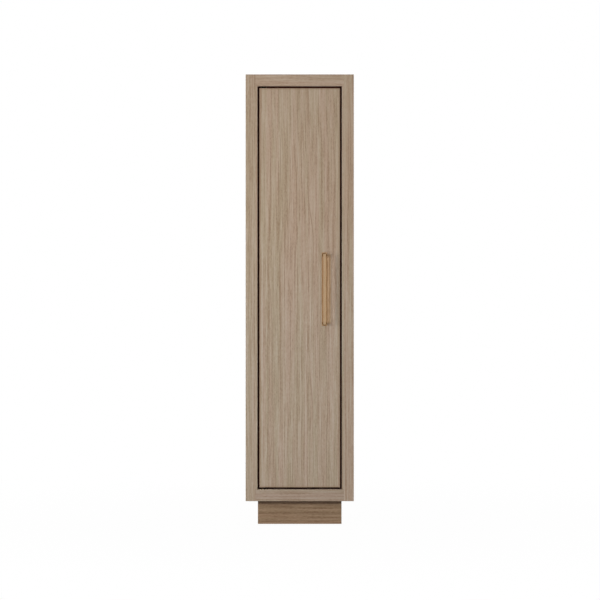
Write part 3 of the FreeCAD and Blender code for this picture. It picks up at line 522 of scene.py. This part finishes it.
# %% [markdown]
# ## Metals
#
# The handle is brass with a satin finish: it was rubbed along its length, which leaves fine
# parallel scratches. They hardly change the colour, but they spread the reflection. The bar is
# round and thin, so its sides are much of what is seen of it, and a lighter colour is painted where
# it turns away: a painted sheen, which Layer Weight places. Steel fittings get the same group with
# other values.

# %% The shared rubbed-metal group: the scratches run along Z of the vector
SPOTS_PER_METRE = (60, 60, 25)

tree, given = new_group(
    "rubbed_metal", {"Vector": None, "Scratch Width": 0.0003}, ("Scratches", "Tarnish", "Height")
)
scratches = along_grain(tree, given["Vector"], given["Scratch Width"], ratio=60)
tarnish = clouds(tree, vector_step(tree, "MULTIPLY", given["Vector"], SPOTS_PER_METRE), detail=3)
RUBBED_METAL = close_group(
    tree, {"Scratches": scratches, "Tarnish": tarnish, "Height": scratches}
)

# %% [markdown]
# ### The metal finish
#
# The tarnish moves the colour from bright to dull in soft spots, and the scratches vary the
# roughness. Their relief is only a hundredth of a millimetre, so it shows in the gleam and not as
# a shape.

# %% Metal finish
TARNISH_EDGE = (0.35, 0.7)
SHEEN_EDGE = (0.15, 0.4)  # from facing the viewer to turned away
SCRATCH_RANGE = (0.25, 0.75)
METAL_SPREAD = 0.14  # from the smoothest to the roughest place
METAL_RELIEF = 0.00001


def rubbed_metal(name, direction, bright, dull, painted_rim_sheen=None, gloss=0.26):
    """A satin metal finish, rubbed in one direction. Its painted rim sheen is painted where it
    turns away.
    """
    material, tree, shader = new_material(name, Metallic=1.0)
    metal = use_group(tree, RUBBED_METAL, Vector=board_place(tree, direction, 0))
    tarnished = ramp(tree, metal["Tarnish"], *TARNISH_EDGE)
    colour = mix_colours(tree, tarnished, tone(*bright), tone(*dull))
    if painted_rim_sheen:
        turned_away = tree.nodes.new("ShaderNodeLayerWeight").outputs["Facing"]
        colour = mix_colours(tree, ramp(tree, turned_away, *SHEEN_EDGE), colour, tone(*painted_rim_sheen))
    put(shader.inputs["Base Color"], colour)
    roughness = ramp(tree, metal["Scratches"], *SCRATCH_RANGE, gloss, gloss + METAL_SPREAD)
    put(shader.inputs["Roughness"], roughness)
    raise_bumps(tree, shader, metal["Height"], METAL_RELIEF)
    return material


# %% [markdown]
# ## Rubber and plastic
#
# The seals behind the door and the magnet's case are moulded. Moulded surfaces have a fine, even
# skin texture with no direction at all, so this noise isn't drawn out. Wider patches show wear.

# %% The shared moulded-skin group
PATCHES_PER_METRE = (45, 45, 45)

tree, given = new_group(
    "moulded_skin", {"Vector": None, "Grain Size": 0.0008}, ("Patches", "Height")
)
skin = clouds(tree, counted_in(tree, given["Vector"], given["Grain Size"]), detail=3)
patches = clouds(tree, vector_step(tree, "MULTIPLY", given["Vector"], PATCHES_PER_METRE))
MOULDED_SKIN = close_group(tree, {"Patches": patches, "Height": skin})

# %% [markdown]
# ### The moulded finish
#
# Rubber and plastic differ only in colour and gloss. Rubber hardly mirrors anything, and plastic
# mirrors as much as most things do.

# %% Moulded finish
WEAR_EDGE = (0.4, 0.7)
SKIN_RANGE = (0.3, 0.7)
SKIN_SPREAD = 0.12  # from the smoothest to the roughest place
SKIN_RELIEF = 0.00005


def moulded(name, colour, worn, gloss, shine=0.5):
    """A moulded rubber or plastic finish."""
    material, tree, shader = new_material(name, Specular_IOR_Level=shine)
    skin = use_group(tree, MOULDED_SKIN, Vector=board_place(tree, "up", 0))
    wear = ramp(tree, skin["Patches"], *WEAR_EDGE)
    put(shader.inputs["Base Color"], mix_colours(tree, wear, tone(*colour), tone(*worn)))
    roughness = ramp(tree, skin["Height"], *SKIN_RANGE, gloss, gloss + SKIN_SPREAD)
    put(shader.inputs["Roughness"], roughness)
    raise_bumps(tree, shader, skin["Height"], SKIN_RELIEF)
    return material


# %% [markdown]
# ## Dressing the oak boards
#
# Each piece now gets its finish. A board that stands has upright grain, a board that lies has grain
# across, and each gets a shift of its own. The boards whose edges line the gap get painted shade
# there. The stiles differ a little in shade, as boards from different planks do, and the bottom
# rail is a little darker.

# %% Dress the oak boards
def dress(finish, *names):
    """Gives a finish to pieces of the construction model."""
    for name in names:
        piece = NODES[name]
        piece.data.materials.clear()
        piece.data.materials.append(finish)


UPRIGHT = (
    "left_stile", "right_stile", "left_side_panel", "right_side_panel",
    "left_lining", "right_lining", "latch_stop", "back_panel",
)
ACROSS = (
    "top_rail", "bottom_rail", "top_panel", "bottom_panel", "floor_lining", "ceiling_lining",
    "upper_shelf", "hanging_rail", "peg_rail", "top_stop", "bottom_stop",
)
UPRIGHT_SHIFT, ACROSS_SHIFT = 1, 20  # of the first board, and one more for each that follows
# how far the painted shade along the gap reaches on each of these boards
PAINTED_SHADE_REACHES = {
    "left_lining": 0.0022, "right_lining": 0.0012, "top_rail": 0.0022, "bottom_rail": 0.0005,
}
BOARD_SHADES = {
    "left_stile": (0.99, 0.985, 0.985),
    "right_stile": (0.99, 0.985, 0.975),
    # the bottom rail is a little darker than the other boards
    "bottom_rail": (0.96, 0.955, 0.96),
}
for direction, names, first_shift in (
    ("up", UPRIGHT, UPRIGHT_SHIFT), ("across", ACROSS, ACROSS_SHIFT),
):
    for shift, name in enumerate(names, start=first_shift):
        shade = BOARD_SHADES.get(name, UNSHADED)
        painted_gap_shades = [(PAINTED_SHADE_REACHES[name], *GAP_PAINTED_SHADE)] if name in PAINTED_SHADE_REACHES else []
        dress(wood(f"oak_{name}", direction, shift, OAK, shade, painted_gap_shades, [GREYER]), name)
print(f"{len(UPRIGHT)} upright boards and {len(ACROSS)} across")

# %% [markdown]
# ## Dressing the door
#
# The door is what everybody looks at. It is wide enough to show how the grain wanders, so it
# wanders more here than in the narrow frame, and the bands are a little narrower. Towards its edges
# the door is painted faintly darker, as painted shade, and right at the gap it has the same painted
# shade as the frame.

# %% Dress the door
DOOR_SHIFT = 33
# painted shade: the door is faintly darker within about a centimetre of the gap
DOOR_EDGE_PAINTED_SHADE = (0.011, 0.7, OAK[-1])
DOOR_GAP_PAINTED_SHADE = (0.0022, *GAP_PAINTED_SHADE)

door_oak = wood(
    "oak_door_panel", "up", DOOR_SHIFT, OAK, painted_gap_shades=[DOOR_EDGE_PAINTED_SHADE, DOOR_GAP_PAINTED_SHADE],
    tinted_areas=[GREYER, PAINTED_BRASS_GLOW], Wander=0.06, Band_Width=0.026,
)
dress(door_oak, "door_panel")
print(f"{door_oak.name} is made of {len(door_oak.node_tree.nodes)} nodes")

# %% [markdown]
# ## Dressing the plinth and the hidden wood
#
# The plinth is a darker, browner oak, so that the body seems to float over it; part of that
# darkness is painted shade for the recess under the body. The battens in the walls and the corner
# blocks are never seen, so they are plain pine, and the dowels are beech, which is hard and cheap
# to turn.

# %% Dress the plinth and the hidden wood
PLINTH_SHIFT = 40  # of the first board, and one more for each that follows
PLINTH_BOARDS = {
    "plinth_front": "across", "plinth_back": "across",
    "plinth_left": "deep", "plinth_right": "deep",
}
HIDDEN_WOOD = (
    ("pine_upright", "up", 50, PINE, ("left_wall_battens", "right_wall_battens", "corner_blocks")),
    ("pine_across", "across", 51, PINE, ("floor_battens", "ceiling_battens")),
    ("beech_dowels", "across", 52, BEECH, ("joint_dowels",)),
)
for shift, (name, direction) in enumerate(PLINTH_BOARDS.items(), start=PLINTH_SHIFT):
    dress(wood(f"oak_{name}", direction, shift, PLINTH_OAK_AND_SHADE), name)
for finish_name, direction, shift, colours, names in HIDDEN_WOOD:
    dress(wood(finish_name, direction, shift, colours), *names)
print(f"{len(PLINTH_BOARDS)} plinth boards and {len(HIDDEN_WOOD)} finishes for hidden wood")

# %% [markdown]
# ## Dressing the fittings
#
# The handle's bar and the pegs are bright brass. The bar's posts are painted darker: painted shade
# for where they stand between the bar and the door. The collar that carries the door in its lower
# hinge has browned. The hinges' pins and leaves are blackened so that they don't show in the gap.
# The screws, the shelf's pins, the catch and the feet are plain steel.

# %% Dress the brass
BRASS, BRASS_DULL = (180, 152, 120), (170, 142, 110)
BROWNED, BROWNED_DULL = (74, 54, 36), (48, 34, 24)

# the bar gets a painted sheen: a lighter brass where it turns away from the viewer
bar_brass = rubbed_metal("brass_upright", "up", BRASS, BRASS_DULL, painted_rim_sheen=(238, 210, 172), gloss=0.3)
dress(bar_brass, "handle_bar")
plate_brass = rubbed_metal("brass_backplate", "up", (176, 142, 106), (166, 132, 96), gloss=0.4)
dress(plate_brass, "handle_backplate")
peg_brass = rubbed_metal("brass_deep", "deep", BRASS, (168, 140, 108))
dress(peg_brass, "broom_peg_left", "broom_peg_centre", "broom_peg_right")
# painted shade: the posts stand between the bar and the door, so their brass is painted darker
shaded_post_brass = rubbed_metal("brass_post", "deep", (122, 94, 64), (108, 80, 52), gloss=0.4)
dress(shaded_post_brass, "upper_handle_post", "lower_handle_post")
collar_brass = rubbed_metal("brass_browned", "up", BROWNED, BROWNED_DULL, gloss=0.5)
dress(collar_brass, "thrust_collar")
print("brass from", BRASS, "on the bar to", BROWNED, "in the hinge")

# %% Dress the steel, the seals and the catch
STEEL_WORDS = ("screws", "shelf_pins", "strike", "catch_magnet", "foot")
BLACKENED_WORDS = ("leaf", "pivot_pin")  # dressed last, because the leaves' screws are black too


def named_with(words):
    """The pieces whose name holds one of the words."""
    return [name for name in NODES if any(word in name for word in words)]


steel = rubbed_metal("steel", "deep", (190, 190, 192), (170, 170, 172))
dress(steel, *named_with(STEEL_WORDS))
black_steel = rubbed_metal("steel_blackened", "deep", (52, 48, 45), (34, 30, 28), gloss=0.4)
dress(black_steel, *named_with(BLACKENED_WORDS))
dress(moulded("seal_rubber", (48, 19, 15), (58, 25, 20), 0.7, shine=0.1), "door_seals")
dress(moulded("catch_plastic", (92, 74, 58), (102, 84, 68), 0.4), "magnet_case")
finishes = {piece.data.materials[0].name for piece in NODES.values()}
print(f"{len(finishes)} finishes on {len(NODES)} pieces")

# %% [markdown]
# ## Floor, surroundings and light
#
# The cupboard stands in a white studio. The background has to look white without pouring more
# light on the wood, so what a camera ray or a reflection sees is set apart from what lights the
# scene. The Light Path node tells the two kinds of ray from each other.

# %% What is seen, apart from what lights the scene
def seen_share(tree):
    """1 for a ray from the camera, a reflection or a view through glass, and otherwise 0."""
    path = tree.nodes.new("ShaderNodeLightPath").outputs
    looks = calculate(tree, "MAXIMUM", path["Is Camera Ray"], path["Is Glossy Ray"])
    return calculate(tree, "MAXIMUM", looks, path["Is Transmission Ray"])


# %% [markdown]
# ### The floor
#
# A studio floor is a roll of white paper that runs on out of sight. One flat square does the same,
# as long as its edge is far away.

# %% Floor
FLOOR_SIZE = 60.0

floor_mesh = bmesh.new()
bmesh.ops.create_grid(floor_mesh, x_segments=1, y_segments=1, size=FLOOR_SIZE / 2)
floor_data = bpy.data.meshes.new("studio_floor")
floor_mesh.to_mesh(floor_data)
floor_mesh.free()
floor = bpy.data.objects.new("studio_floor", floor_data)
bpy.context.scene.collection.objects.link(floor)
print(f"the floor has {len(floor_data.polygons)} face, {FLOOR_SIZE:.0f} m wide")

# %% [markdown]
# ### The floor's finish
#
# The floor mixes its own white with a real, lit surface: the lit part carries the shadow. Further
# out nothing throws a shadow, so the white takes over there and no edge shows against the world.

# %% Floor finish
FLOOR_GREY = (160, 160, 160)
FLOOR_ROUGHNESS = 0.9
FLOOR_OWN_WHITE = 0.985  # the share of it near the cupboard
MORE_WHITE_FROM, WHITE_BEYOND = 0.6, 2.4  # distances from the middle of the floor

floor_finish, tree, shader = new_material(
    "studio_floor", Roughness=FLOOR_ROUGHNESS, Base_Color=tone(*FLOOR_GREY)
)
distance = tree.nodes.new("ShaderNodeVectorMath")
distance.operation = "LENGTH"
put(distance.inputs[0], object_place(tree))
away = distance.outputs["Value"]
own_white = ramp(tree, away, MORE_WHITE_FROM, WHITE_BEYOND, FLOOR_OWN_WHITE, 1.0)
mix = tree.nodes.new("ShaderNodeMixShader")
put(mix.inputs["Fac"], calculate(tree, "MULTIPLY", seen_share(tree), own_white))
put(mix.inputs[1], shader.outputs[0])
put(mix.inputs[2], tree.nodes.new("ShaderNodeEmission").outputs[0])
put(tree.nodes["Material Output"].inputs["Surface"], mix.outputs[0])
floor_data.materials.append(floor_finish)
print(f"{1 - FLOOR_OWN_WHITE:.1%} of what is seen near the cupboard is lit floor")

# %% [markdown]
# ### The surroundings
#
# The world is plain white to look at. It lights the scene only weakly, because light that comes
# evenly from everywhere leaves no shadows and makes wood look flat. The lamps do the rest.

# %% Surroundings
WORLD_LIGHT = 0.15

world = bpy.data.worlds.new("studio")
world.use_nodes = True
bpy.context.scene.world = world
tree = world.node_tree
background = tree.nodes["Background"]
background.inputs["Color"].default_value = (1, 1, 1, 1)
put(background.inputs["Strength"], ramp(tree, seen_share(tree), 0.0, 1.0, WORLD_LIGHT, 1.0))
print(f"the world lights the scene at {WORLD_LIGHT:.0%} of its white")

# %% [markdown]
# ## Lamps
#
# Four lamps stand in front, on a circle round the handle. Two are a little to its left and right
# and well above it. They light the front evenly and throw the body's shadow on the top of the
# plinth. The other two stand further to the left, almost level with the handle, and each throws a
# shadow of its bar on the door: the one that stands further round throws its shadow further out.
# These two are narrow, because the width of a lamp is what softens the edge of a shadow. All lamps
# are hidden from reflections, so that the brass mirrors a plain white studio.

# %% Lamps in front of the handle
LAMP_DISTANCE = 4.2
BEHIND_BAR = Vector((bar_middle.x, door_low.y, bar_middle.z))  # on the door's face
FRONT_LAMPS = (  # name, degrees round to the left, rise, width and height, level
    ("front_right", -9, 0.7, (0.35, 0.8), 0.17),
    ("front_left", 8, 0.7, (0.35, 0.8), 0.145),
    ("left_near", 34.8, 0.25, (0.15, 0.6), 0.36),
    ("left_far", 56.4, 0.25, (0.15, 2.4), 0.49),
)


def lamp(name, place, target, size, level):
    """A soft rectangular lamp that lights a surface facing it at the target to this level."""
    towards = Vector(target) - Vector(place)
    data = bpy.data.lights.new(name, "AREA")
    data.shape = "RECTANGLE"
    data.size, data.size_y = size
    data.energy = level * (math.pi * towards.length) ** 2
    made = bpy.data.objects.new(name, data)
    made.location = place
    made.rotation_euler = towards.to_track_quat("-Z", "Y").to_euler()
    made.visible_camera = False
    made.visible_glossy = False
    bpy.context.scene.collection.objects.link(made)
    print(f"{name}: {data.energy:.0f} W from {towards.length:.1f} m away")


for name, degrees, rise, size, level in FRONT_LAMPS:
    turn = math.radians(degrees)
    away = Vector((-math.sin(turn), -math.cos(turn), 0)) * LAMP_DISTANCE
    lamp(name, BEHIND_BAR + away + Vector((0, 0, rise)), BEHIND_BAR, size, level)

# %% [markdown]
# ### The other lamps
#
# One lamp above, one at each side and one behind keep the rest of the cupboard from going dull.
# They are wide, so their shadows are soft and don't compete with those of the handle.

# %% Lamps above, at the sides and behind
WIDE = (2.0, 2.0)
BODY_TOP = (0, 0, 1.9)
BODY_MIDDLE = (0, 0.1, 1.0)

lamp("above", (0, 0.6, 6), BODY_TOP, WIDE, 0.4)
lamp("side_left", (-5, 1.6, 1.4), BODY_MIDDLE, WIDE, 0.42)
lamp("side_right", (5, 1.6, 1.4), BODY_MIDDLE, WIDE, 0.68)
lamp("back", (0.5, 6, 2.0), BODY_MIDDLE, WIDE, 0.55)

# %% [markdown]
# ## Colours as they are written
#
# Blender's usual view softens bright colours as film does, which would turn the white studio grey.
# The Standard view shows each colour as it is written.

# %% Settings
bpy.context.scene.view_settings.view_transform = "Standard"
